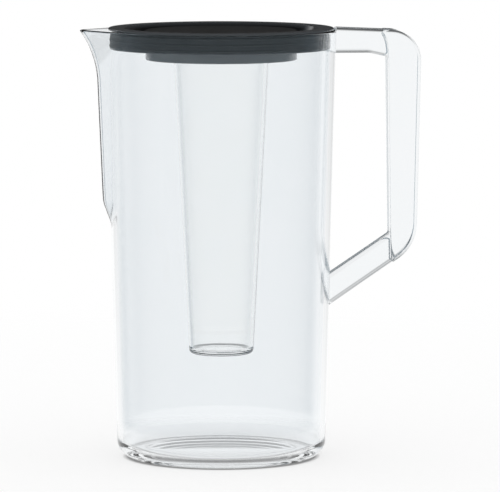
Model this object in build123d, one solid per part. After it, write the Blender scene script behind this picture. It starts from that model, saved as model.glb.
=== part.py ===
from build123d import *
import os
from math import acos, cos, radians, sin, sqrt, tan

# A clear table pitcher with an angular handle, a dark plug lid and a clear core for ice
# that screws up into the underside of the lid. Millimetres, +Z up, origin on the table at
# the centre of the base, handle towards +X and spout towards -X.

# Vessel
rim_height = 251.7
rim_radius = 67.5
base_radius = 61.2  # where the straight wall would meet the table
wall = 3.0
floor_thickness = 4.5
base_corner_radius = 10.0
rim_round = 0.8
foot_recess_radius = 45.0
foot_recess_depth = 1.0
foot_recess_round = 0.8

# Spout, a ridge with flat sides that rises up the wall and flares to a tip
spout_tip_proud = 15.7  # beyond the round rim
spout_tip_rise = 0.3
spout_apex_radius = 9.0
spout_side_sink = 0.8  # how far the flat sides run inside the round wall
ridge_length = 114.7  # from the rim down to where the ridge leaves the wall
ridge_foot_length = 14.0
ridge_low_proud = 4.7
flare_length = 29.7
flare_start_proud = 5.9
flare_sections = 5

# Handle, a wide grip bar on two narrower arms
arm_width = 13.0
arm_edge_round = 2.4
arm_drop = 15.0
arm_top_fall = 2.1  # from the rim to the outer end of the grip
arm_haunch_length = 11.0
arm_haunch_drop = 2.4
arm_haunch_radius = 14.0
grip_width = 21.0
grip_edge_round = 2.0
finger_room = 29.9  # between the rim and the grip
grip_depth = 19.8
grip_outer_lean = 5.3
grip_inner_lean = 3.9
grip_nose_length = 6.0
grip_nose_round = 2.0
grip_toe_round = 1.2
top_corner_radius = 18.0
bottom_corner_radius = 26.0
brace_foot_bottom = 89.4
brace_foot_top = 107.9
brace_bottom_angle = 34.2
brace_top_angle = 33.9
finger_corner_radius = 3.0

# Lid, a plug with a trough for the fingertips around a central island
flange_setback = 1.4  # inwards of the rim
flange_width = 9.4
lid_flange_thickness = 1.2
lid_wall = 2.4
lid_edge_round = 0.7
skirt_edge_round = 0.35
skirt_clearance = 0.4
skirt_depth = 10.9
island_step = 1.4  # how far the island lies below the top of the flange
trough_width = 8.2  # across its floor
trough_slope = 4.1  # how far its outer wall leans out
trough_depth = 8.5
trough_round = 2.6
trough_inner_round = 1.3
hub_depth = 17.4  # below the rim
rib_count = 8
rib_thickness = 1.6
rib_depth = 8.0

# Lid seal, a soft sleeve on the skirt with lips that touch the wall
seal_depth = 1.0
seal_edge = 1.0  # web of skirt left below the groove
seal_top_edge = 1.3  # and above it
lip_count = 3
lip_height = 1.6
lip_round = 0.2
lip_fit = 0.1

# Core, a closed tapering tube with a threaded neck
core_radius = 27.9  # just under the collar
core_bottom_radius = 18.9
core_wall = 2.0
core_floor = 2.5
core_length = 174.2  # below the collar
core_corner_radius = 3.0
core_inner_corner_radius = 2.0
core_edge_round = 0.5
collar_width = 3.4
collar_thickness = 2.2
collar_lift = 0.9  # collar underside above the bottom of the hub
neck_wall = 3.1
neck_pilot_height = 3.0
neck_top_gap = 1.0
pilot_fit = 0.1
thread_room = 1.2
socket_wall = 2.4
gasket_thickness = 1.9
gasket_fit = 0.05
gasket_round = 0.45

# Radii that follow
spout_tip_reach = rim_radius + spout_tip_proud
grip_outer_reach = rim_radius + finger_room + grip_depth
lid_flange_radius = rim_radius - flange_setback
trough_mouth_radius = lid_flange_radius - flange_width
trough_floor_radius = trough_mouth_radius - trough_slope
island_radius = trough_floor_radius - trough_width
core_bore_radius = core_radius - core_wall
neck_radius = core_bore_radius + neck_wall
collar_radius = neck_radius + collar_width

# Heights that follow
flare_start_height = rim_height - flare_length
ridge_foot_height = rim_height - ridge_length
ridge_low_height = ridge_foot_height + ridge_foot_length
lid_top = rim_height + lid_flange_thickness
island_top = lid_top - island_step
ceiling = island_top - lid_wall
trough_floor = lid_top - trough_depth
skirt_bottom = rim_height - skirt_depth
hub_bottom = rim_height - hub_depth
collar_bottom = hub_bottom + collar_lift
collar_top = collar_bottom + collar_thickness
core_bottom_height = collar_bottom - core_length
socket_bottom = collar_top + gasket_thickness
neck_top = ceiling - neck_top_gap
blank_top = lid_top + spout_tip_rise


def wall_radius(height):
    return base_radius + (rim_radius - base_radius) * height / rim_height


def core_outer_radius(height):
    share = (height - core_bottom_height) / (collar_bottom - core_bottom_height)
    return core_bottom_radius + (core_radius - core_bottom_radius) * share


def revolved(points, rounds):
    # Turns an outline of (radius, height) points about the Z axis. rounds maps the index
    # of a point to the radius of the arc that replaces its corner.
    face = make_face(Polyline(*points, close=True))
    corners = {index: Vector(*points[index]) for index in rounds}
    for index, radius in rounds.items():
        corner = face.vertices().sort_by_distance(corners[index])[0]
        face = fillet(corner, radius)
    return revolve(Plane.XZ * face, Axis.Z)


def vessel_blank(inset, bottom, corner_radius):
    points = [
        (0, bottom),
        (wall_radius(bottom) - inset, bottom),
        (wall_radius(blank_top) - inset, blank_top),
        (0, blank_top),
    ]
    return revolved(points, {1: corner_radius})


def spout_reach(height):
    # Distance of the ridge from the axis: a straight ridge, then an arc out to the tip.
    tip_height = rim_height + spout_tip_rise
    share = (height - ridge_low_height) / (flare_start_height - ridge_low_height)
    straight = wall_radius(height) + ridge_low_proud
    straight += (flare_start_proud - ridge_low_proud) * share
    if height <= flare_start_height:
        return straight
    tip_share = (tip_height - ridge_low_height) / (flare_start_height - ridge_low_height)
    tip_straight = wall_radius(tip_height) + ridge_low_proud
    tip_straight += (flare_start_proud - ridge_low_proud) * tip_share
    flare = spout_tip_reach - tip_straight
    rise = tip_height - flare_start_height
    flare_radius = (rise**2 + flare**2) / (2 * flare)
    return straight + flare_radius - sqrt(flare_radius**2 - (height - flare_start_height) ** 2)


def spout_section(height, reach, inset):
    # Flat sides that leave a rounded apex and end just inside the round wall.
    centre = reach - spout_apex_radius
    distance = wall_radius(height) - spout_side_sink
    lean = acos((distance - spout_apex_radius) / centre)
    apex_radius = spout_apex_radius - inset
    side_end = (-(distance - inset) * cos(lean), (distance - inset) * sin(lean))
    side_start = (-centre - apex_radius * cos(lean), apex_radius * sin(lean))
    mirrored_start = (side_start[0], -side_start[1])
    mirrored_end = (side_end[0], -side_end[1])
    outline = [
        Line(side_end, side_start),
        ThreePointArc(side_start, (-centre - apex_radius, 0), mirrored_start),
        Line(mirrored_start, mirrored_end),
        Line(mirrored_end, side_end),
    ]
    return Pos(0, 0, height) * make_face(outline)


def spout_blank(inset):
    foot_reach = wall_radius(ridge_foot_height) - spout_side_sink / 2
    foot = spout_section(ridge_foot_height, foot_reach, inset)
    low = spout_section(ridge_low_height, spout_reach(ridge_low_height), inset)
    step = (blank_top - flare_start_height) / (flare_sections - 1)
    heights = [flare_start_height + step * index for index in range(flare_sections)]
    flare = [spout_section(height, spout_reach(height), inset) for height in heights]
    return loft([foot, low], ruled=True) + loft([low, flare[0]], ruled=True) + loft(flare)


def rim_cutter():
    # Level over the round rim, then rising along the lip to the tip of the spout.
    far = 2 * spout_tip_reach
    slope = spout_tip_rise / (spout_tip_reach - lid_flange_radius)
    outline = Polyline(
        (far, rim_height),
        (-lid_flange_radius, rim_height),
        (-far, rim_height + slope * (far - lid_flange_radius)),
        (-far, far + rim_height),
        (far, far + rim_height),
        close=True,
    )
    return extrude(Plane.XZ * make_face(outline), far, both=True)


def foot_recess():
    points = [
        (0, -foot_recess_depth),
        (foot_recess_radius, -foot_recess_depth),
        (foot_recess_radius, foot_recess_depth),
        (0, foot_recess_depth),
    ]
    return revolved(points, {2: foot_recess_round})


def make_pitcher_body():
    outside = vessel_blank(0, 0, base_corner_radius) + spout_blank(0)
    inside = vessel_blank(wall, floor_thickness, base_corner_radius - wall) + spout_blank(wall)
    body = outside - inside - rim_cutter() - foot_recess()
    rim_edges = body.edges().filter_by_position(Axis.Z, rim_height - rim_round, blank_top)
    return fillet(rim_edges, rim_round)


def grip_outer_x(height):
    return grip_outer_reach - grip_outer_lean * (lid_top - height) / lid_top


def grip_inner_x(height):
    top_x = grip_outer_reach - grip_depth
    return top_x + grip_inner_lean * (lid_top - height) / lid_top


def meet(x_of_height, foot_height, angle):
    # Where a brace edge that leaves the wall at foot_height reaches a leaning grip edge.
    slope = tan(radians(angle))
    lean = (x_of_height(lid_top) - x_of_height(0)) / lid_top
    rise = slope * (x_of_height(0) - wall_radius(foot_height))
    height = (foot_height + rise) / (1 - slope * lean)
    return (x_of_height(height), height)


def rounded_at(face, point, radius):
    return fillet(face.vertices().sort_by_distance(Vector(*point))[0], radius)


def handle_outline():
    # The outer outline of the whole handle, closed on the axis of the pitcher.
    arm_start = (wall_radius(lid_top), lid_top)
    top_corner = (grip_outer_x(lid_top), lid_top - arm_top_fall)
    bottom_corner = meet(grip_outer_x, brace_foot_bottom, brace_bottom_angle)
    foot = (wall_radius(brace_foot_bottom), brace_foot_bottom)
    slope = (bottom_corner[1] - foot[1]) / (bottom_corner[0] - foot[0])
    axis_end = (0, foot[1] - slope * foot[0])
    face = make_face(
        Polyline((0, lid_top), arm_start, top_corner, bottom_corner, axis_end, close=True)
    )
    face = rounded_at(face, top_corner, top_corner_radius)
    return rounded_at(face, bottom_corner, bottom_corner_radius)


def finger_gap():
    arm_bottom = lid_top - arm_drop
    haunch_height = arm_bottom - arm_haunch_drop
    haunch_end = (grip_inner_x(haunch_height), haunch_height)
    haunch_start = (haunch_end[0] - arm_haunch_length, arm_bottom)
    brace_corner = meet(grip_inner_x, brace_foot_top, brace_top_angle)
    foot = (wall_radius(brace_foot_top), brace_foot_top)
    slope = (brace_corner[1] - foot[1]) / (brace_corner[0] - foot[0])
    axis_end = (0, foot[1] - slope * foot[0])
    face = make_face(
        Polyline((0, arm_bottom), haunch_start, haunch_end, brace_corner, axis_end, close=True)
    )
    face = rounded_at(face, haunch_start, arm_haunch_radius)
    face = rounded_at(face, haunch_end, finger_corner_radius)
    return rounded_at(face, brace_corner, finger_corner_radius)


def grip_region():
    # Everything outwards of the inner face of the grip, whose top curls in over the arm.
    far = 2 * grip_outer_reach
    curl_height = lid_top - arm_drop
    curl_start = Vector(grip_inner_x(curl_height), curl_height)
    curl_end = Vector(curl_start.X - grip_nose_length, lid_top)
    foot = Vector(grip_inner_x(0), 0)
    curl = TangentArc(curl_start, curl_end, tangent=curl_start - foot)
    outline = [
        Line(foot, curl_start),
        curl,
        Polyline(curl_end, (curl_end.X, far + lid_top), (far, far + lid_top), (far, 0), foot),
    ]
    return make_face(outline), curl_end


def long_edges(solid, half_width):
    # The edges around the front and the back face.
    front = solid.edges().filter_by_position(Axis.Y, -half_width, -half_width)
    back = solid.edges().filter_by_position(Axis.Y, half_width, half_width)
    return front + back


def make_handle():
    outline = handle_outline()
    arms = extrude(Plane.XZ * (outline - finger_gap()), arm_width / 2, both=True)
    arms = fillet(long_edges(arms, arm_width / 2), arm_edge_round)

    region, nose = grip_region()
    grip_face = outline & region
    toe = meet(grip_inner_x, brace_foot_bottom, brace_bottom_angle)
    grip_face = rounded_at(grip_face, nose, grip_nose_round)
    grip_face = rounded_at(grip_face, toe, grip_toe_round)
    grip = extrude(Plane.XZ * grip_face, grip_width / 2, both=True)
    grip = fillet(long_edges(grip, grip_width / 2), grip_edge_round)

    return arms + grip - vessel_blank(0, 0, base_corner_radius)


def skirt_radius():
    return wall_radius(skirt_bottom) - wall - skirt_clearance


def seal_span():
    return skirt_bottom + seal_edge, rim_height - seal_top_edge


def make_lid():
    seal_bottom, seal_top = seal_span()
    skirt = skirt_radius()
    groove = skirt - seal_depth
    flange_under = lid_top - lid_wall
    trough_under = trough_floor - lid_wall
    socket_bore = neck_radius + thread_room
    pilot_bore = neck_radius + pilot_fit
    pilot_bottom = neck_top - neck_pilot_height
    socket_outer = socket_bore + socket_wall
    points = [
        (0, island_top),
        (island_radius, island_top),
        (island_radius, trough_floor),
        (trough_floor_radius, trough_floor),
        (trough_mouth_radius, lid_top),
        (lid_flange_radius, lid_top),
        (lid_flange_radius, rim_height),
        (skirt, rim_height),
        (skirt, seal_top),
        (groove, seal_top),
        (groove, seal_bottom),
        (skirt, seal_bottom),
        (skirt, skirt_bottom),
        (groove - lid_wall, skirt_bottom),
        (groove - lid_wall, flange_under),
        (trough_mouth_radius + lid_wall / 2, flange_under),
        (trough_floor_radius + lid_wall / 2, trough_under),
        (island_radius, trough_under),
        (island_radius, hub_bottom),
        (island_radius - lid_wall, hub_bottom),
        (island_radius - lid_wall, ceiling),
        (socket_outer, ceiling),
        (socket_outer, socket_bottom),
        (socket_bore, socket_bottom),
        (socket_bore, pilot_bottom),
        (pilot_bore, pilot_bottom),
        (pilot_bore, ceiling),
        (0, ceiling),
    ]
    rounds = {index: lid_edge_round for index in (1, 4, 5, 18)}
    rounds.update({2: trough_inner_round, 3: trough_round, 12: skirt_edge_round})
    lid = revolved(points, rounds)
    rib_length = island_radius - lid_wall / 2 - socket_outer + socket_wall / 2
    rib_middle = socket_outer - socket_wall / 2 + rib_length / 2
    rib = Box(rib_length, rib_thickness, rib_depth)
    for place in PolarLocations(rib_middle, rib_count):
        lid += Pos(0, 0, ceiling - rib_depth / 2) * place * rib
    return lid


def make_lid_seal():
    seal_bottom, seal_top = seal_span()
    sleeve = skirt_radius()
    pitch = (seal_top - seal_bottom - lip_height) / (lip_count - 1)
    points = [(sleeve - seal_depth, seal_bottom)]
    crests = {}
    for index in range(lip_count):
        lip_bottom = seal_bottom + pitch * index
        crest_height = lip_bottom + lip_height / 2
        crest = (wall_radius(crest_height) - wall - lip_fit, crest_height)
        points += [(sleeve, lip_bottom), crest, (sleeve, lip_bottom + lip_height)]
        crests[len(points) - 2] = lip_round
    points.append((sleeve - seal_depth, seal_top))
    return revolved(points, crests)


def make_core_tube():
    inner_floor = core_bottom_height + core_floor
    points = [
        (0, core_bottom_height),
        (core_bottom_radius, core_bottom_height),
        (core_radius, collar_bottom),
        (collar_radius, collar_bottom),
        (collar_radius, collar_top),
        (neck_radius, collar_top),
        (neck_radius, neck_top),
        (core_bore_radius, neck_top),
        (core_bore_radius, collar_bottom),
        (core_outer_radius(inner_floor) - core_wall, inner_floor),
        (0, inner_floor),
    ]
    rounds = {1: core_corner_radius, 9: core_inner_corner_radius}
    rounds.update({4: core_edge_round, 6: core_edge_round})
    return revolved(points, rounds)


def make_core_gasket():
    inner = neck_radius + gasket_fit
    points = [
        (inner, collar_top),
        (collar_radius, collar_top),
        (collar_radius, socket_bottom),
        (inner, socket_bottom),
    ]
    return revolved(points, {1: gasket_round, 2: gasket_round})


pieces = {
    "pitcher_body": make_pitcher_body,
    "handle": make_handle,
    "lid": make_lid,
    "lid_seal": make_lid_seal,
    "core_tube": make_core_tube,
    "core_gasket": make_core_gasket,
}

os.makedirs("parts", exist_ok=True)
for name, make in pieces.items():
    export_step(make(), f"parts/{name}.step")
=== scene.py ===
import math

import bpy
import numpy as np
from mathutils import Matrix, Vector


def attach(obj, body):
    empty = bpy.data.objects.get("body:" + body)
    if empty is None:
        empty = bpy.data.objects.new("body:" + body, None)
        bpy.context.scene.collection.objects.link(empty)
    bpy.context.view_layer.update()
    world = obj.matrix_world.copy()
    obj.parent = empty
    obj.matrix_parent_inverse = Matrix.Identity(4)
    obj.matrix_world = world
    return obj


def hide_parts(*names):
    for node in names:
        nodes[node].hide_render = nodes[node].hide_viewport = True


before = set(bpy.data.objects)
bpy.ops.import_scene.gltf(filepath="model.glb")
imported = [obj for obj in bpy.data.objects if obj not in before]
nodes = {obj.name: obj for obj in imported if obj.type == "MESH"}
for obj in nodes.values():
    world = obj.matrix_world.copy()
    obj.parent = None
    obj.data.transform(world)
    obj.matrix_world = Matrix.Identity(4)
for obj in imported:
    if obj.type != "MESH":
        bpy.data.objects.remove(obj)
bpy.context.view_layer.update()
scene = bpy.context.scene
scene.view_settings.view_transform = "Standard"
clearBounces = 32  # a ray crosses eight clear surfaces on its way, and is thrown back inside some
for limit in ("max_bounces", "transmission_bounces", "glossy_bounces", "transparent_max_bounces"):
    setattr(scene.cycles, limit, clearBounces)
scene.cycles.diffuse_bounces = 16
mm = 0.001
print("frame loaded:", ", ".join(sorted(nodes)))


def hexLinear(code, alpha=1.0):
    shares = [int(code[i : i + 2], 16) / 255 for i in (1, 3, 5)]
    linear = [s / 12.92 if s <= 0.04045 else ((s + 0.055) / 1.055) ** 2.4 for s in shares]
    return (*linear, alpha)


def addNode(tree, kind, settings=None, links=None):
    node = tree.nodes.new(kind)
    for key, value in (settings or {}).items():
        if isinstance(key, int) or key in node.inputs:
            node.inputs[key].default_value = value
        else:
            setattr(node, key, value)
    for key, socket in (links or {}).items():
        tree.links.new(socket, node.inputs[key])
    return node


def newMaterial(name):
    material = bpy.data.materials.new(name)
    material.use_nodes = True
    material.node_tree.nodes.clear()
    tree = material.node_tree
    return material, tree, addNode(tree, "ShaderNodeTexCoord").outputs["Object"]


# A colour Mix node has its share at input 0, its colours at inputs 6 and 7 and the result at output 2
noiseSpan = {"From Min": 0.3, "From Max": 0.7}  # where most values of a noise lie

# Clear SAN, injection moulded in a polished tool: hard bright edges, faint flow waves and a cool tint
sanClear = {
    "tints": ("#fdfeff", "#fbfdfe"),
    "ior": 1.57,
    "roughness": (0.0, 0.015),
    "flowWave": 38 * mm,
    "waveHeight": 0.010 * mm,
    "mirror": "#ffffff",
}

# Clarified polypropylene: softer and duller than the vessel, so it mirrors little and shows mainly by
# its edges
clarifiedPolypropylene = {
    "tints": ("#ffffff", "#fefefd"),
    "ior": 1.49,
    "roughness": (0.0, 0.02),
    "flowWave": 24 * mm,
    "waveHeight": 0.008 * mm,
    "mirror": "#404040",
}


def makeClear(name, look):
    material, tree, place = newMaterial(name)
    flow = addNode(
        tree, "ShaderNodeTexNoise", {"Scale": 1 / look["flowWave"], "Detail": 1.0}, {"Vector": place}
    )
    tint = addNode(tree, "ShaderNodeMix", {"data_type": "RGBA"}, {0: flow.outputs["Fac"]})
    tint.inputs[6].default_value, tint.inputs[7].default_value = map(hexLinear, look["tints"])
    smooth, dull = look["roughness"]
    polish = addNode(
        tree,
        "ShaderNodeMapRange",
        {**noiseSpan, "To Min": smooth, "To Max": dull},
        {"Value": flow.outputs["Fac"]},
    )
    wave = addNode(
        tree, "ShaderNodeBump", {"Distance": look["waveHeight"]}, {"Height": flow.outputs["Fac"]}
    )
    shader = addNode(
        tree,
        "ShaderNodeBsdfPrincipled",
        {"IOR": look["ior"], "Transmission Weight": 1.0, "Specular Tint": hexLinear(look["mirror"])},
        {"Base Color": tint.outputs[2], "Roughness": polish.outputs[0], "Normal": wave.outputs[0]},
    )
    addNode(tree, "ShaderNodeOutputMaterial", links={"Surface": shader.outputs[0]})
    return material


# Polypropylene, black, moulded in a spark-eroded tool: next to no colour of its own, a satin sheen with
# a fine grain. Its hub and rim are drawn paler, as the uneven light of the photograph shows them
lidPolypropylene = {
    "greys": ("#0b0b0c", "#101011"),
    "ior": 1.49,
    "roughness": (0.16, 0.22),
    "grain": 0.9 * mm,  # drawn coarser than the real 0.1 mm, which would not show
    "grainHeight": 0.006 * mm,
    "cloud": 14 * mm,
    "paintedLightZones": (
        # painted light: the hub, then the rim, drawn paler than the lid's own black
        {"grey": "#787d80", "height": (242 * mm, 239.5 * mm), "radius": (0, 1 * mm)},
        {"grey": "#424548", "height": (249.5 * mm, 250.5 * mm), "radius": (55.5 * mm, 57 * mm)},
    ),
}

# Silicone, moulded in a blasted tool: matt, soft-edged, with a bloom of dust
sealSilicone = {
    "greys": ("#1d1d1d", "#232323"),
    "ior": 1.41,
    "roughness": (0.45, 0.6),
    "grain": 1.2 * mm,
    "grainHeight": 0.02 * mm,
    "cloud": 6 * mm,
    "paintedLightZones": (),
}

# The same silicone without pigment: a milky white, as matt as the seal
gasketSilicone = {**sealSilicone, "greys": ("#c4c8ca", "#d2d6d8")}


def makeOpaque(name, look):
    material, tree, place = newMaterial(name)
    cloud = addNode(
        tree, "ShaderNodeTexNoise", {"Scale": 1 / look["cloud"], "Detail": 2.0}, {"Vector": place}
    )
    grain = addNode(
        tree, "ShaderNodeTexNoise", {"Scale": 1 / look["grain"], "Detail": 3.0}, {"Vector": place}
    )
    colour = addNode(tree, "ShaderNodeMix", {"data_type": "RGBA"}, {0: cloud.outputs["Fac"]})
    colour.inputs[6].default_value, colour.inputs[7].default_value = map(hexLinear, look["greys"])
    height = addNode(tree, "ShaderNodeSeparateXYZ", links={0: place})
    level = addNode(tree, "ShaderNodeVectorMath", {"operation": "MULTIPLY", 1: (1, 1, 0)}, {0: place})
    radius = addNode(tree, "ShaderNodeVectorMath", {"operation": "LENGTH"}, {0: level.outputs[0]})
    # painted light: each zone lays a paler grey over the material's own colour, by height and radius
    for paintedLightZone in look["paintedLightZones"]:
        share = addNode(
            tree,
            "ShaderNodeMapRange",
            {"From Min": paintedLightZone["height"][0], "From Max": paintedLightZone["height"][1]},
            {"Value": height.outputs["Z"]},
        )
        share = addNode(
            tree,
            "ShaderNodeMapRange",
            {"From Min": paintedLightZone["radius"][0], "From Max": paintedLightZone["radius"][1]},
            {"Value": radius.outputs["Value"], "To Max": share.outputs[0]},
        )
        colour = addNode(
            tree,
            "ShaderNodeMix",
            {"data_type": "RGBA", 7: hexLinear(paintedLightZone["grey"])},
            {0: share.outputs[0], 6: colour.outputs[2]},
        )
    smooth, dull = look["roughness"]
    polish = addNode(
        tree,
        "ShaderNodeMapRange",
        {**noiseSpan, "To Min": smooth, "To Max": dull},
        {"Value": cloud.outputs["Fac"]},
    )
    bump = addNode(
        tree, "ShaderNodeBump", {"Distance": look["grainHeight"]}, {"Height": grain.outputs["Fac"]}
    )
    shader = addNode(
        tree,
        "ShaderNodeBsdfPrincipled",
        {"IOR": look["ior"]},
        {"Base Color": colour.outputs[2], "Roughness": polish.outputs[0], "Normal": bump.outputs[0]},
    )
    addNode(tree, "ShaderNodeOutputMaterial", links={"Surface": shader.outputs[0]})
    return material


sanBody = makeClear("SanClearPolished", sanClear)
tubePlastic = makeClear("PolypropyleneClarified", clarifiedPolypropylene)
lidPlastic = makeOpaque("PolypropyleneDarkSatin", lidPolypropylene)
sealRubber = makeOpaque("SiliconeBlackMatt", sealSilicone)
gasketRubber = makeOpaque("SiliconeMilky", gasketSilicone)
for nodeName, material in {
    "handle": sanBody,
    "core_tube": tubePlastic,
    "lid": lidPlastic,
    "lid_seal": sealRubber,
    "core_gasket": gasketRubber,
}.items():
    nodes[nodeName].data.materials.clear()
    nodes[nodeName].data.materials.append(material)
print("materials on the nodes")

# The vessel, one moulding: a tapering round wall with a recessed foot and a spout pressed out of it
vessel = {
    "rimHeight": 251.7 * mm,
    "rimRadius": 67.46 * mm,  # a hair inside the pads of the handle, where the weld shows as a line
    "baseRadius": 61.16 * mm,
    "wall": 2.96 * mm,
    "floor": 4.5 * mm,
    "corner": 10 * mm,
    "rimRound": 0.8 * mm,
    "recessRadius": 45 * mm,
    "recessDepth": 1 * mm,
    "recessRound": 0.8 * mm,
}
spout = {
    "tipReach": 83.2 * mm,
    "tipRise": 0.3 * mm,
    "lipStart": 66.1 * mm,
    "apexRadius": 9 * mm,
    "sideSink": 0.8 * mm,
    "footHeight": 137 * mm,
    "lowHeight": 151 * mm,
    "lowProud": 4.7 * mm,
    "flareHeight": 222 * mm,
    "flareProud": 5.9 * mm,
    "crease": 0.4 * mm,  # softness of the line where it leaves the wall
    "kink": 0.6 * mm,  # softness of the step at its foot
}
vesselGrid = {
    # degrees from the spout: start, end, step
    "columns": ((0, 6, 0.25), (6, 45, 0.75), (45, 180, 1.5)),
    # heights in m: start, end, count
    "rows": ((0, 0.135, 14), (0.135, 0.153, 20), (0.153, 0.222, 24), (0.222, 0.2517, 26)),
    "firstStep": 2 * mm,  # the least height from a corner's arc to the first row
    "lipPasses": 4,  # the lip's height depends on its reach, and settles in these
    "steepest": 1.2,  # radians, to keep a cosine clear of zero
    "arcSteps": 12,
    "smallArcSteps": 5,
    "sharpFrom": 40,  # degrees
}


def wallRadius(height):
    spread = vessel["rimRadius"] - vessel["baseRadius"]
    return vessel["baseRadius"] + spread * height / vessel["rimHeight"]


def spoutReach(height):
    climb = spout["flareHeight"] - spout["lowHeight"]

    def straight(z):
        share = (z - spout["lowHeight"]) / climb
        return wallRadius(z) + spout["lowProud"] + (spout["flareProud"] - spout["lowProud"]) * share

    tipHeight = vessel["rimHeight"] + spout["tipRise"]
    rise = tipHeight - spout["flareHeight"]
    flare = spout["tipReach"] - straight(tipHeight)
    arc = (rise**2 + flare**2) / (2 * flare)
    above = np.clip(height - spout["flareHeight"], 0, rise)
    ridge = straight(height) + arc - np.sqrt(arc**2 - above**2)
    footReach = wallRadius(spout["footHeight"]) - spout["sideSink"] / 2
    slope = (straight(spout["lowHeight"]) - footReach) / (spout["lowHeight"] - spout["footHeight"])
    step = footReach + slope * (height - spout["footHeight"])
    return (ridge + step - np.sqrt((ridge - step) ** 2 + spout["kink"] ** 2)) / 2


def outlineRadius(angle, height, inset):
    # the larger of the round wall and the spout: a rounded apex with flat sides that run into the wall
    centre = spoutReach(height) - spout["apexRadius"]
    apex = spout["apexRadius"] - inset
    side = wallRadius(height) - spout["sideSink"]
    lean = np.arccos(np.minimum((side - spout["apexRadius"]) / centre, 1))
    apexEnd = np.arctan2(apex * np.sin(lean), centre + apex * np.cos(lean))
    onApex = centre * np.cos(angle) + np.sqrt(np.maximum(apex**2 - (centre * np.sin(angle)) ** 2, 0))
    past = np.maximum(angle - lean, 0)
    before = np.clip(lean - angle, 0, vesselGrid["steepest"])
    onSide = (side - inset) / np.cos(before) - spout["apexRadius"] * (1 - np.cos(past))
    proud = np.where(angle < apexEnd, onApex, onSide) - (wallRadius(height) - inset)
    return wallRadius(height) - inset + (proud + np.sqrt(proud**2 + spout["crease"] ** 2)) / 2


def rimLevel(radius, angle):
    slope = spout["tipRise"] / (spout["tipReach"] - spout["lipStart"])
    return vessel["rimHeight"] + slope * np.maximum(radius * np.cos(angle) - spout["lipStart"], 0)


def cornerArc(inset, bottom, radius, steps):
    # the round between a level floor and the leaning wall, from the floor outwards
    lean = math.atan2(vessel["rimRadius"] - vessel["baseRadius"], vessel["rimHeight"])
    centreHeight = bottom + radius
    centreRadius = wallRadius(centreHeight) - inset - radius / math.cos(lean)
    turns = np.linspace(-math.pi / 2, -lean, steps)
    return [(centreRadius + radius * math.cos(t), centreHeight + radius * math.sin(t)) for t in turns]


def wallRows(angle, inset, start):
    # rows up the wall, the last ones stretched to follow the rising lip
    heights = np.concatenate([np.linspace(a, b, n, endpoint=False) for a, b, n in vesselGrid["rows"]])
    heights = np.append(heights[heights > start + vesselGrid["firstStep"]], vessel["rimHeight"])
    top = np.full_like(angle, vessel["rimHeight"])
    for _ in range(vesselGrid["lipPasses"]):
        top = rimLevel(outlineRadius(angle, top - vessel["rimRound"], inset), angle)
    top = top - vessel["rimRound"]
    rows = []
    for height in heights:
        share = max(0, height - spout["flareHeight"]) / (vessel["rimHeight"] - spout["flareHeight"])
        level = min(height, spout["flareHeight"]) + share * (top - spout["flareHeight"])
        rows.append((outlineRadius(angle, level, inset), level))
    return rows


def vesselRows(angle):
    # the section from the middle of the foot, up the outside, over the rim and down to the floor
    level = np.ones_like(angle)
    quarter = np.linspace(0, math.pi / 2, vesselGrid["smallArcSteps"])
    edge = vessel["recessRound"]
    recess = vessel["recessRadius"] - edge
    ceiling = vessel["recessDepth"] - edge
    rows = [(recess + edge * math.sin(t), ceiling + edge * math.cos(t)) for t in quarter]
    rows.append((vessel["recessRadius"], 0.0))
    rows += cornerArc(0, 0, vessel["corner"], vesselGrid["arcSteps"])
    rows = [(level * r, level * z) for r, z in rows]
    outer = wallRows(angle, 0, vessel["corner"])
    inner = wallRows(angle, vessel["wall"], vessel["corner"] + vessel["floor"] - vessel["wall"])
    rows += outer
    outerRadius, innerRadius = outer[-1][0], inner[-1][0]
    roundShare = vessel["rimRound"] / vessel["wall"] * (outerRadius - innerRadius)
    lips = [(outerRadius - roundShare * (1 - math.cos(t)), math.sin(t)) for t in quarter[1:]]
    lips += [(innerRadius + roundShare * (1 - math.sin(t)), math.cos(t)) for t in quarter[:-1]]
    for radius, rise in lips:
        rows.append((radius, rimLevel(radius, angle) - vessel["rimRound"] * (1 - rise)))
    rows += inner[::-1]
    innerCorner = vessel["corner"] - vessel["wall"]
    floorArc = cornerArc(vessel["wall"], vessel["floor"], innerCorner, vesselGrid["arcSteps"])
    rows += [(level * r, level * z) for r, z in floorArc[::-1]]
    return rows


def makeVessel(name, material):
    half = np.concatenate([np.arange(a, b, s) for a, b, s in vesselGrid["columns"]])
    degrees = np.unique(np.concatenate([half, 360 - half[:0:-1], [180.0]]))
    fromSpout = np.radians(np.minimum(degrees, 360 - degrees))
    bearing = np.radians(degrees)
    rows = vesselRows(fromSpout)
    count = len(degrees)
    points = []
    for radius, height in rows:
        points += list(zip(-radius * np.cos(bearing), -radius * np.sin(bearing), height))
    points += [(0, 0, vessel["recessDepth"]), (0, 0, vessel["floor"])]
    footPole, floorPole = len(points) - 2, len(points) - 1
    faces = []
    for row in range(len(rows) - 1):
        for column in range(count):
            after = (column + 1) % count
            a, b = row * count, (row + 1) * count
            faces.append((a + column, a + after, b + after, b + column))
    last = (len(rows) - 1) * count
    for column in range(count):
        after = (column + 1) % count
        faces.append((after, column, footPole))
        faces.append((last + column, last + after, floorPole))
    mesh = bpy.data.meshes.new(name)
    mesh.from_pydata(points, [], faces)
    mesh.shade_smooth()
    mesh.set_sharp_from_angle(angle=math.radians(vesselGrid["sharpFrom"]))
    mesh.materials.append(material)
    piece = bpy.data.objects.new(name, mesh)
    scene.collection.objects.link(piece)
    return piece


vesselPiece = makeVessel("vessel", sanBody)
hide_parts("pitcher_body")
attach(vesselPiece, "pitcher")
print("vessel built:", len(vesselPiece.data.polygons), "faces")

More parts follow.
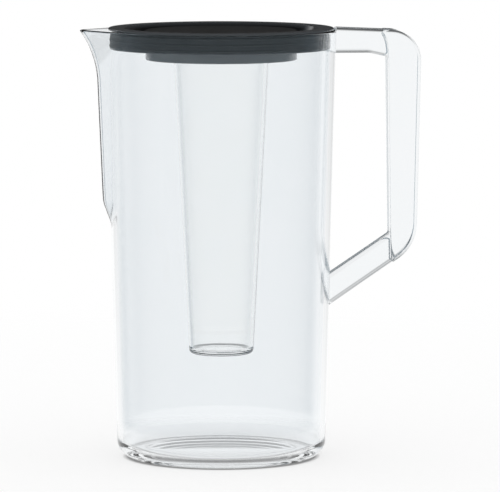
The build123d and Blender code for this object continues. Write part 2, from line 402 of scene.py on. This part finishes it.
# Screw thread: rounded ridges wound on the neck of the core, and others between them in the lid's socket
thread = {
    "starts": 3,
    "lead": 12 * mm,
    "turns": 0.33,
    "bottom": 240.2 * mm,
    "ridge": 0.9 * mm,  # half sunk, so it stands this far proud
    "taper": 0.12,  # share of the length over which each end runs out
    "endSize": 0.05,  # what is left of the ridge at its ends
    "neckRadius": 29.0 * mm,
    "socketRadius": 30.2 * mm,
    "around": 72,
    "sides": 10,
}


def makeThreadTree():
    tree = bpy.data.node_groups.new("threadRidges", "GeometryNodeTree")
    for label, kind in {
        "Starts": "NodeSocketInt",
        "Lead": "NodeSocketFloat",
        "Turns": "NodeSocketFloat",
        "Bottom": "NodeSocketFloat",
        "Root Radius": "NodeSocketFloat",
        "Ridge": "NodeSocketFloat",
        "Taper": "NodeSocketFloat",
        "Phase": "NodeSocketFloat",
        "Material": "NodeSocketMaterial",
    }.items():
        tree.interface.new_socket(name=label, in_out="INPUT", socket_type=kind)
    tree.interface.new_socket(name="Geometry", in_out="OUTPUT", socket_type="NodeSocketGeometry")
    given = addNode(tree, "NodeGroupInput").outputs
    climb = addNode(
        tree, "ShaderNodeMath", {"operation": "MULTIPLY"}, {0: given["Lead"], 1: given["Turns"]}
    )
    helix = addNode(
        tree,
        "GeometryNodeCurveSpiral",
        {"Resolution": thread["around"], "Reverse": True},  # right-handed
        {
            "Rotations": given["Turns"],
            "Start Radius": given["Root Radius"],
            "End Radius": given["Root Radius"],
            "Height": climb.outputs[0],
        },
    )
    along = addNode(tree, "GeometryNodeSplineParameter").outputs["Factor"]
    rest = addNode(tree, "ShaderNodeMath", {"operation": "SUBTRACT", 0: 1.0}, {1: along})
    nearest = addNode(tree, "ShaderNodeMath", {"operation": "MINIMUM"}, {0: along, 1: rest.outputs[0]})
    runOut = addNode(
        tree,
        "ShaderNodeMapRange",
        {"interpolation_type": "SMOOTHSTEP", "To Min": thread["endSize"]},
        {"Value": nearest.outputs[0], "From Max": given["Taper"]},
    )
    tapered = addNode(
        tree, "GeometryNodeSetCurveRadius", links={"Curve": helix.outputs[0], "Radius": runOut.outputs[0]}
    )
    section = addNode(
        tree,
        "GeometryNodeCurvePrimitiveCircle",
        {"Resolution": thread["sides"]},
        {"Radius": given["Ridge"]},
    )
    ridge = addNode(
        tree,
        "GeometryNodeCurveToMesh",
        {"Fill Caps": True},
        {"Curve": tapered.outputs[0], "Profile Curve": section.outputs[0], "Scale": runOut.outputs[0]},
    )
    seats = addNode(tree, "GeometryNodePoints", links={"Count": given["Starts"]})
    share = addNode(tree, "ShaderNodeMath", {"operation": "DIVIDE", 0: 2 * math.pi}, {1: given["Starts"]})
    number = addNode(tree, "GeometryNodeInputIndex")
    turned = addNode(
        tree,
        "ShaderNodeMath",
        {"operation": "MULTIPLY_ADD"},
        {0: number.outputs[0], 1: share.outputs[0], 2: given["Phase"]},
    )
    spin = addNode(tree, "ShaderNodeCombineXYZ", links={"Z": turned.outputs[0]})
    facing = addNode(tree, "FunctionNodeEulerToRotation", links={0: spin.outputs[0]})
    placed = addNode(
        tree,
        "GeometryNodeInstanceOnPoints",
        links={"Points": seats.outputs[0], "Instance": ridge.outputs[0], "Rotation": facing.outputs[0]},
    )
    lift = addNode(tree, "ShaderNodeCombineXYZ", links={"Z": given["Bottom"]})
    raised = addNode(
        tree, "GeometryNodeTransform", links={"Geometry": placed.outputs[0], "Translation": lift.outputs[0]}
    )
    real = addNode(tree, "GeometryNodeRealizeInstances", links={0: raised.outputs[0]})
    dressed = addNode(
        tree, "GeometryNodeSetMaterial", links={"Geometry": real.outputs[0], "Material": given["Material"]}
    )
    addNode(tree, "NodeGroupOutput", links={"Geometry": dressed.outputs[0]})
    return tree


def makeThread(name, tree, radius, phase, material):
    source = bpy.data.objects.new(name, bpy.data.meshes.new(name))
    scene.collection.objects.link(source)
    modifier = source.modifiers.new("ridges", "NODES")
    modifier.node_group = tree
    sockets = {item.name: item.identifier for item in tree.interface.items_tree if item.in_out == "INPUT"}
    for label, value in {
        "Starts": thread["starts"],
        "Lead": thread["lead"],
        "Turns": thread["turns"],
        "Bottom": thread["bottom"],
        "Root Radius": radius,
        "Ridge": thread["ridge"],
        "Taper": thread["taper"],
        "Phase": phase,
        "Material": material,
    }.items():
        modifier[sockets[label]] = value
    ready = source.evaluated_get(bpy.context.evaluated_depsgraph_get())
    mesh = bpy.data.meshes.new_from_object(ready)
    source.modifiers.clear()
    source.data = mesh
    mesh.shade_smooth()
    return source


threadTree = makeThreadTree()
neckThread = makeThread("neckThread", threadTree, thread["neckRadius"], 0.0, tubePlastic)
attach(neckThread, "core")
halfStart = math.pi / thread["starts"]
socketThread = makeThread("socketThread", threadTree, thread["socketRadius"], halfStart, lidPlastic)
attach(socketThread, "lid")
print("threads wound:", len(neckThread.data.polygons), "faces each")

# The photograph's viewpoint
viewpoint = {
    "aim": Vector((0.01685, -0.0015, 0.1243)),
    "azimuth": -5.0,
    "elevation": 6.0,
    "distance": 2.74,
    "lens": 335.5,  # on the default 36 mm sensor
}
turn = math.radians(viewpoint["azimuth"])
tilt = math.radians(viewpoint["elevation"])
back = Vector((math.sin(turn) * math.cos(tilt), -math.cos(turn) * math.cos(tilt), math.sin(tilt)))
camera = bpy.data.objects.new("camera", bpy.data.cameras.new("camera"))
camera.data.lens = viewpoint["lens"]
camera.location = viewpoint["aim"] + back * viewpoint["distance"]
camera.rotation_euler = (-back).to_track_quat("-Z", "Y").to_euler()
scene.collection.objects.link(camera)
scene.camera = camera

# A round white table top that fades into the white surround
table = {
    "radius": 0.9,
    "solidTo": 0.45,
    "level": -0.05 * mm,  # a hair under the base, so that the two faces don't meet
    "white": "#fefefe",
    "lit": 0.7,  # share of plain white, the rest takes shadows
    # painted shadow: a grey ring on the table top, under the edge of the base
    "paintedShadowRing": {"radius": 54 * mm, "reach": (1 * mm, 4.5 * mm), "grey": "#989898"},  # shadow under the base
    "underBase": (0.14, 0.17),  # the radius where clear plastic stops seeing the table
    "segments": 96,
}
bearings = [2 * math.pi * i / table["segments"] for i in range(table["segments"])]
tableMesh = bpy.data.meshes.new("tableTop")
tableMesh.from_pydata(
    [(table["radius"] * math.cos(a), table["radius"] * math.sin(a), table["level"]) for a in bearings],
    [],
    [list(range(table["segments"]))],
)
tableTop = bpy.data.objects.new("tableTop", tableMesh)
scene.collection.objects.link(tableTop)
tableMaterial, tree, place = newMaterial("PaperWhite")
fromCentre = addNode(tree, "ShaderNodeVectorMath", {"operation": "LENGTH"}, {0: place})
fade = addNode(
    tree,
    "ShaderNodeMapRange",
    {"interpolation_type": "SMOOTHSTEP", "From Min": table["solidTo"], "From Max": table["radius"]},
    {"Value": fromCentre.outputs["Value"]},
)
path = addNode(tree, "ShaderNodeLightPath").outputs
under = addNode(tree, "ShaderNodeNewGeometry").outputs["Backfacing"]
beyond = addNode(
    tree,
    "ShaderNodeMapRange",
    {"From Min": table["underBase"][0], "From Max": table["underBase"][1]},
    {"Value": fromCentre.outputs["Value"]},
)
hidden = fade.outputs[0]
covers = []
for label in ("Is Glossy Ray", "Is Transmission Ray"):  # these see the surround, but for under the base
    away = addNode(tree, "ShaderNodeMath", {"operation": "MULTIPLY"}, {0: path[label], 1: beyond.outputs[0]})
    covers.append(away.outputs[0])
for cover in (*covers, under):
    larger = addNode(tree, "ShaderNodeMath", {"operation": "MAXIMUM"}, {0: hidden, 1: cover})
    hidden = larger.outputs[0]
# painted shadow: the table's colour turns grey in a ring under the base's edge, in both its diffuse and its
# glowing share
paintedShadowRing = table["paintedShadowRing"]
apart = addNode(
    tree, "ShaderNodeMath", {"operation": "SUBTRACT", 1: paintedShadowRing["radius"]}, {0: fromCentre.outputs["Value"]}
)
apart = addNode(tree, "ShaderNodeMath", {"operation": "ABSOLUTE"}, {0: apart.outputs[0]})
clearOf = addNode(
    tree,
    "ShaderNodeMapRange",
    {"From Min": paintedShadowRing["reach"][0], "From Max": paintedShadowRing["reach"][1]},
    {"Value": apart.outputs[0]},
)
shaded = addNode(
    tree,
    "ShaderNodeMix",
    {"data_type": "RGBA", 6: hexLinear(paintedShadowRing["grey"]), 7: hexLinear(table["white"])},
    {0: clearOf.outputs[0]},
)
paper = addNode(tree, "ShaderNodeBsdfDiffuse", links={"Color": shaded.outputs[2]})
fill = addNode(tree, "ShaderNodeEmission", links={"Color": shaded.outputs[2]})
pale = addNode(
    tree, "ShaderNodeMixShader", {0: table["lit"]}, {1: paper.outputs[0], 2: fill.outputs[0]}
)
gone = addNode(tree, "ShaderNodeBsdfTransparent")
mixed = addNode(
    tree, "ShaderNodeMixShader", links={0: hidden, 1: pale.outputs[0], 2: gone.outputs[0]}
)
addNode(tree, "ShaderNodeOutputMaterial", links={"Surface": mixed.outputs[0]})
tableMesh.materials.append(tableMaterial)

# A white studio: plain white to the eye and for soft light. What clear plastic bends or mirrors is drawn
# apart, in bands of grey by height in degrees: bright along the horizon, with the dim room behind the
# camera in the mirrored ones.
studio = {
    "bands": {
        "bent": (
            *((-90, 0.08), (-30, 0.1), (-20, 0.35), (-12, 1.0)),
            *((1, 1.0), (6, 0.8), (12, 0.4), (30, 0.25), (90, 0.2)),
        ),
        "bentAside": ((-90, 0.75), (-40, 0.9), (-20, 1.0), (1, 1.0), (12, 0.85), (30, 0.7), (90, 0.6)),
        "mirrored": ((-90, 0.2), (-30, 0.6), (-12, 1.0), (-2, 1.0), (1.5, 0.042), (90, 0.042)),
        "mirroredAside": ((-90, 0.5), (-24, 1.0), (-9, 0.9), (-6, 0.45), (0, 0.06), (90, 0.05)),
        "sideLamp": (
            *((-90, 0.5), (-24, 1.0), (-9, 0.9), (-6, 0.45), (0, 0.06)),
            *((10, 0.1), (14, 2.0), (32, 2.0), (38, 0.1), (90, 0.05)),
        ),
        "mirroredFront": ((-90, 0.5), (-24, 1.0), (-4, 1.0), (1, 0.1), (90, 0.05)),
        "mirroredInside": ((-90, 0.5), (-24, 1.0), (20, 1.0), (40, 0.5), (90, 0.3)),
    },
    "room": "#95a2aa",
    "rearBearing": 12,  # the bright side, in degrees to the right of straight behind
    # where one band gives way to another, as shares of a unit direction
    "rearEdges": (0.45, 0.82),
    "bentEdges": (0.12, 0.28),
    "mirrorEdges": (0.25, 0.45),
    "lampEdges": (0.3, 0.45),
}
world = bpy.data.worlds.new("whiteStudio")
scene.world = world
world.use_nodes = True
world.cycles.sampling_method = "NONE"  # only rays that arrive carry the kind of path they took
tree = world.node_tree
tree.nodes.clear()
direction = addNode(tree, "ShaderNodeTexCoord").outputs["Generated"]
axes = addNode(tree, "ShaderNodeSeparateXYZ", links={0: direction})
climb = addNode(tree, "ShaderNodeMath", {"operation": "ARCSINE"}, {0: axes.outputs["Z"]})
height = addNode(
    tree,
    "ShaderNodeMapRange",
    {"From Min": -math.pi / 2, "From Max": math.pi / 2},
    {"Value": climb.outputs[0]},
)
bands = {}
for label, greys in studio["bands"].items():
    band = addNode(tree, "ShaderNodeValToRGB", links={0: height.outputs[0]})
    stops = band.color_ramp.elements
    for _ in range(len(greys) - len(stops)):
        stops.new(0.5)
    for stop, (degrees, grey) in zip(stops, greys):
        stop.position = (degrees + 90) / 180
        stop.color = (grey, grey, grey, 1)
    bands[label] = band.outputs[0]
bearing = math.radians(studio["rearBearing"])
rearward = (math.sin(bearing), math.cos(bearing), 0)
toRear = addNode(tree, "ShaderNodeVectorMath", {"operation": "DOT_PRODUCT", 1: rearward}, {0: direction})
rear = addNode(
    tree,
    "ShaderNodeMapRange",
    {
        "interpolation_type": "SMOOTHSTEP",
        "From Min": studio["rearEdges"][0],
        "From Max": studio["rearEdges"][1],
    },
    {"Value": toRear.outputs["Value"]},
)
path = addNode(tree, "ShaderNodeLightPath").outputs
flags = {}
for label in ("Transmission Depth", "Glossy Depth", "Diffuse Depth"):
    flag = addNode(tree, "ShaderNodeMath", {"operation": "GREATER_THAN", 1: 0.5}, {0: path[label]})
    flags[label] = flag.outputs[0]
white = (1, 1, 1, 1)
around = addNode(
    tree,
    "ShaderNodeMix",
    {"data_type": "RGBA", 6: hexLinear(studio["room"]), 7: white},
    {0: rear.outputs[0]},
)
sideways = addNode(tree, "ShaderNodeMath", {"operation": "ABSOLUTE"}, {0: axes.outputs["X"]})
leftward = addNode(tree, "ShaderNodeMath", {"operation": "MULTIPLY", 1: -1.0}, {0: axes.outputs["X"]})
for label, edges, turned, middle, side in (
    ("through", "bentEdges", sideways, "bent", "bentAside"),
    ("unlit", "mirrorEdges", sideways, "mirrored", "mirroredAside"),
    ("behind", "lampEdges", leftward, "unlit", "sideLamp"),
):
    share = addNode(
        tree,
        "ShaderNodeMapRange",
        {"interpolation_type": "SMOOTHSTEP", "From Min": studio[edges][0], "From Max": studio[edges][1]},
        {"Value": turned.outputs[0]},
    )
    blend = addNode(
        tree,
        "ShaderNodeMix",
        {"data_type": "RGBA"},
        {0: share.outputs[0], 6: bands[middle], 7: bands[side]},
    )
    bands[label] = blend.outputs[2]
outside = addNode(
    tree,
    "ShaderNodeMix",
    {"data_type": "RGBA"},
    {0: rear.outputs[0], 6: bands["mirroredFront"], 7: bands["behind"]},
)
ceiling = addNode(
    tree,
    "ShaderNodeMix",
    {"data_type": "RGBA"},
    {0: flags["Transmission Depth"], 6: outside.outputs[2], 7: bands["mirroredInside"]},
)
reflected = addNode(
    tree,
    "ShaderNodeMix",
    {"data_type": "RGBA", "blend_type": "MULTIPLY", 0: 1.0},
    {6: ceiling.outputs[2], 7: around.outputs[2]},
)
seen = addNode(
    tree,
    "ShaderNodeMix",
    {"data_type": "RGBA"},
    {0: flags["Glossy Depth"], 6: bands["through"], 7: reflected.outputs[2]},
)
for plain in (flags["Diffuse Depth"], path["Is Camera Ray"]):
    seen = addNode(tree, "ShaderNodeMix", {"data_type": "RGBA", 7: white}, {0: plain, 6: seen.outputs[2]})
glow = addNode(tree, "ShaderNodeBackground", links={"Color": seen.outputs[2]})
addNode(tree, "ShaderNodeOutputWorld", links={"Surface": glow.outputs[0]})
print("camera, table top and studio in place")
